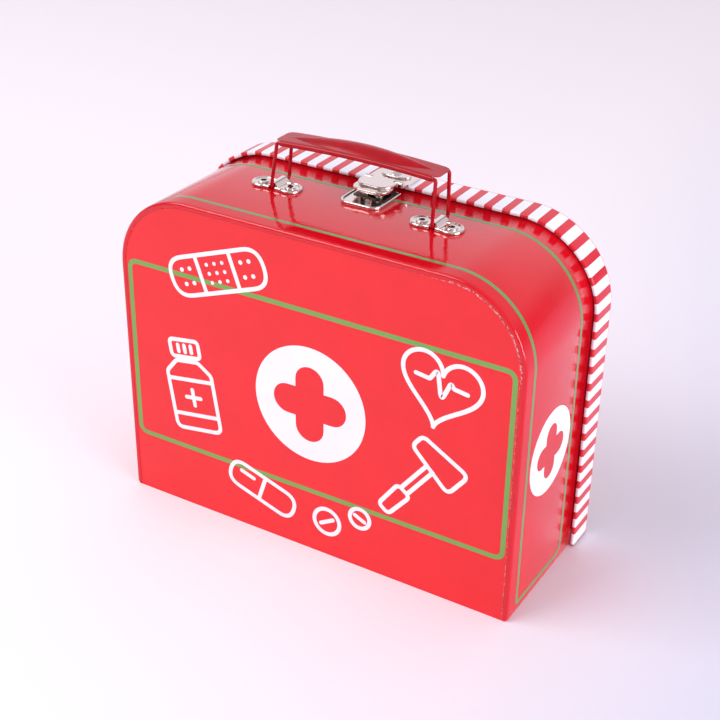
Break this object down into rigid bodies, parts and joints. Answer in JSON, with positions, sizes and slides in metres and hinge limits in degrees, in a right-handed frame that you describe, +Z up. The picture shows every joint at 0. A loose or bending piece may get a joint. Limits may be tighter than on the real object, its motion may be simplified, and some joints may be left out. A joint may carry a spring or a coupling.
{
  "type": "toy doctor case",
  "caption": "Small paperboard suitcase with round top corners, a striped lid rim, a snap latch and an enamelled wire-linked carrying handle.",
  "frame": {"origin": "on the ground under the middle of the closed case", "axes": "+X to the right seen from the front, -Y out of the front, +Z up"},
  "size_m": [0.2046, 0.079, 0.1823],
  "materials": {
    "greyboard": "matt grey board",
    "wall_paper": "varnished red printed paper with green lines",
    "front_print": "satin red printed paper with white and green line figures",
    "plain_red_paper": "varnished red paper",
    "striped_paper": "varnished paper with red and white stripes",
    "lining_paper": "matt white paper",
    "hinge_cloth": "red book cloth",
    "nickel": "polished nickel plate",
    "spring_steel": "plain",
    "red_enamel": "gloss enamel"
  },
  "bodies": {
    "case": {"front_board": "greyboard", "wall_board": "greyboard", "bottom_board": "greyboard", "wall_paper": "wall_paper", "bottom_paper": "plain_red_paper", "front_print": "front_print", "front_lining": "lining_paper", "wall_lining": "lining_paper", "hinge_cloth_body_leaf": "hinge_cloth", "latch_base_plate": "nickel", "latch_keeper": "nickel", "latch_rivets": "nickel", "latch_backing_plate": "nickel", "handle_clip_left": "nickel", "handle_clip_right": "nickel", "clip_rivets": "nickel", "clip_washers": "nickel"},
    "lid": {"lid_board": "greyboard", "rim_board": "greyboard", "rim_paper": "striped_paper", "lid_cover_paper": "plain_red_paper", "lid_lining": "lining_paper", "hinge_cloth_lid_leaf": "hinge_cloth", "hasp_plate": "nickel", "hasp_rivet": "nickel", "hasp_pin": "nickel"},
    "latch_flap": {"latch_flap": "nickel", "catch_spring": "spring_steel"},
    "handle": {"handle_grip": "red_enamel", "handle_wire_left": "red_enamel", "handle_wire_right": "red_enamel"}
  },
  "joints": [
    {"name": "lid_hinge", "type": "hinge", "parent": "case", "child": "lid", "pos_m": [0, 0.03925, 0.00025], "axis": [-1, 0, 0], "range_deg": [0, 90]},
    {"name": "latch_flap_hinge", "type": "hinge", "parent": "lid", "child": "latch_flap", "pos_m": [0, 0.0214, 0.159], "axis": [-1, 0, 0], "range_deg": [0, 120]},
    {"name": "handle_lift", "type": "slide", "parent": "case", "child": "handle", "axis": [0, 0, 1], "range_m": [0, 0.0006]}
  ]
}
